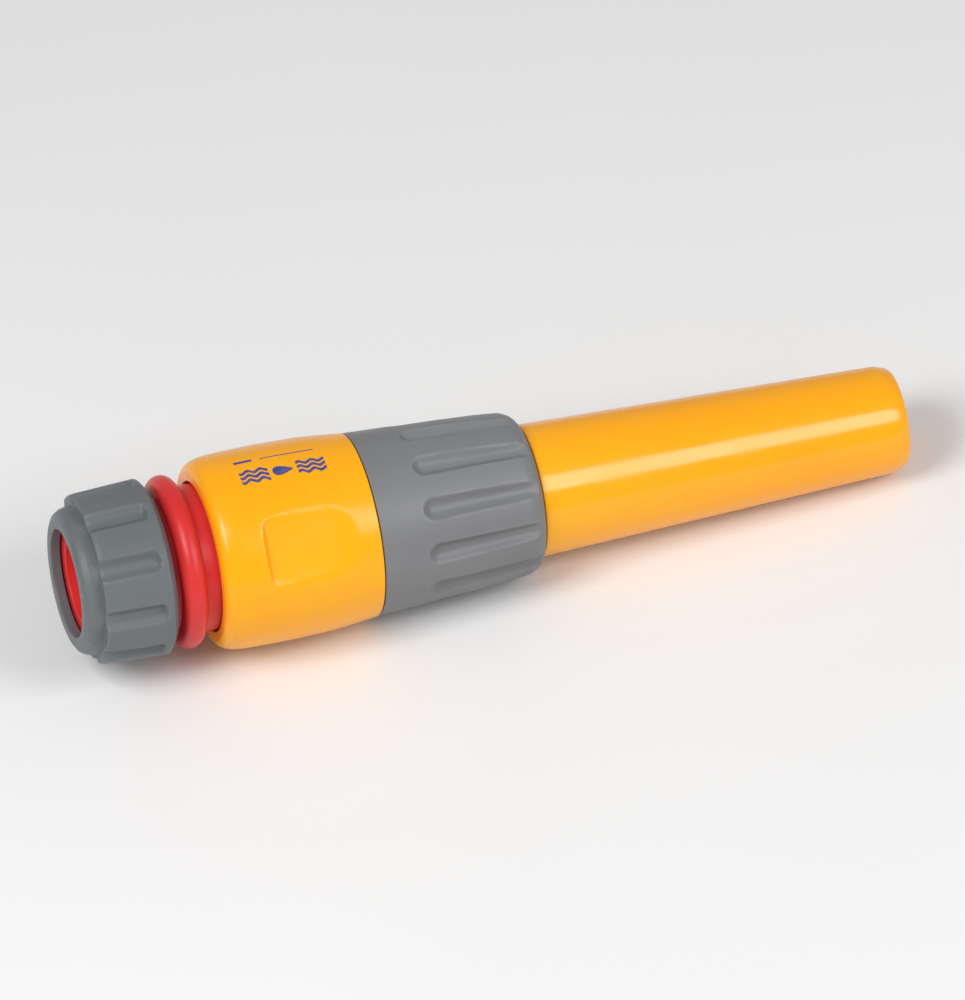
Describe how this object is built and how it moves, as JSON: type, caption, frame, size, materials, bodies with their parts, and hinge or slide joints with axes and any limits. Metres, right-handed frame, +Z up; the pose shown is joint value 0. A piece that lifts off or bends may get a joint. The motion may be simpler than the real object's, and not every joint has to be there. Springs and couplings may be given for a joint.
{
  "type": "hose spray nozzle",
  "caption": "Twist spray nozzle plugged into a quick hose connector with a screw nut, latch collar and water-stop valve.",
  "frame": {"origin": "centre of the bounding box in X and Y, on its lowest plane, which is the lowest line of the release collar", "axes": "+X along the water axis from the hose nut to the spray tip, +Z up across the axis"},
  "size_m": [0.1766, 0.0404, 0.0404],
  "materials": {
    "grey_plastic": "satin mid-grey moulded plastic",
    "grip_grey_plastic": "satin light-grey moulded plastic",
    "red_plastic": "bright red moulded plastic, slightly glossy",
    "orange_plastic": "yellow-orange moulded plastic, satin to glossy",
    "glossy_orange_plastic": "yellow-orange moulded plastic, glossy",
    "white_acetal": "natural white acetal",
    "black_rubber": "black nitrile rubber, lightly greased",
    "blue_print": "thin matt blue-violet pad print on the collar",
    "spring_steel": "bright stainless spring wire"
  },
  "bodies": {
    "connector": {"connector_body": "red_plastic", "hose_tail": "red_plastic", "tail_o_ring": "black_rubber", "collar_stop_ring": "spring_steel", "collar_spring": "spring_steel", "valve_spring": "spring_steel"},
    "collar": {"release_collar": "orange_plastic"},
    "jaw_1": {"latch_jaw_1": "white_acetal"},
    "jaw_2": {"latch_jaw_2": "white_acetal"},
    "jaw_3": {"latch_jaw_3": "white_acetal"},
    "collet": {"hose_collet": "red_plastic"},
    "nut": {"hose_nut": "grey_plastic"},
    "valve": {"valve_plunger": "white_acetal", "valve_o_ring": "black_rubber"},
    "plug_seal": {"plug_o_ring": "black_rubber"},
    "stem": {"nozzle_stem": "grip_grey_plastic", "pintle": "white_acetal", "pintle_o_ring": "black_rubber"},
    "barrel_seal": {"barrel_o_ring": "black_rubber"},
    "barrel": {"spray_barrel": "glossy_orange_plastic", "grip_ring": "grip_grey_plastic"}
  },
  "joints": [
    {"name": "collar_slide", "type": "slide", "parent": "connector", "child": "collar", "axis": [-1, 0, 0], "range_m": [0, 0.0028], "stiffness_N_per_m": 600, "springref_m": -0.005, "deforming": ["collar_spring"]},
    {"name": "jaw_1_hinge", "type": "hinge", "parent": "connector", "child": "jaw_1", "pos_m": [-0.0397, -0.00821, 0.02617], "axis": [0, -0.5878, -0.809], "range_deg": [0, 8.3]},
    {"name": "jaw_2_hinge", "type": "hinge", "parent": "connector", "child": "jaw_2", "pos_m": [-0.0397, 0.00927, 0.02433], "axis": [0, -0.4067, 0.9135], "range_deg": [0, 8.3]},
    {"name": "jaw_3_hinge", "type": "hinge", "parent": "connector", "child": "jaw_3", "pos_m": [-0.0397, -0.00106, 0.01011], "axis": [0, 0.9945, -0.1045], "range_deg": [0, 8.3]},
    {"name": "nut_travel", "type": "slide", "parent": "connector", "child": "collet", "axis": [-1, 0, 0], "range_m": [0, 0.0105]},
    {"name": "nut_turn", "type": "hinge", "parent": "collet", "child": "nut", "pos_m": [-0.0783, 0, 0.0202], "axis": [-1, 0, 0], "range_deg": [0, 1080]},
    {"name": "nozzle_pull", "type": "slide", "parent": "connector", "child": "plug_seal", "axis": [1, 0, 0], "range_m": [0, 0.03], "deforming": ["latch_jaw_1", "latch_jaw_2", "latch_jaw_3"]},
    {"name": "nozzle_swivel", "type": "hinge", "parent": "plug_seal", "child": "stem", "pos_m": [-0.0283, 0, 0.0202], "axis": [1, 0, 0], "continuous": true},
    {"name": "barrel_travel", "type": "slide", "parent": "stem", "child": "barrel_seal", "axis": [1, 0, 0], "range_m": [0, 0.006]},
    {"name": "barrel_turn", "type": "hinge", "parent": "barrel_seal", "child": "barrel", "pos_m": [0.0317, 0, 0.0202], "axis": [1, 0, 0], "range_deg": [0, 540]},
    {"name": "valve_slide", "type": "slide", "parent": "connector", "child": "valve", "axis": [1, 0, 0], "range_m": [0, 0.0039], "deforming": ["valve_spring"]}
  ],
  "couplings": [
    {"joint": "jaw_1_hinge", "follows": "collar_slide", "rad_per_m": 51.74},
    {"joint": "jaw_2_hinge", "follows": "collar_slide", "rad_per_m": 51.74},
    {"joint": "jaw_3_hinge", "follows": "collar_slide", "rad_per_m": 51.74},
    {"joint": "nut_travel", "follows": "nut_turn", "m_per_rad": 0.000557},
    {"joint": "barrel_travel", "follows": "barrel_turn", "m_per_rad": 0.0006366},
    {"joint": "valve_slide", "follows": "nozzle_pull", "ratio": 0.13}
  ]
}
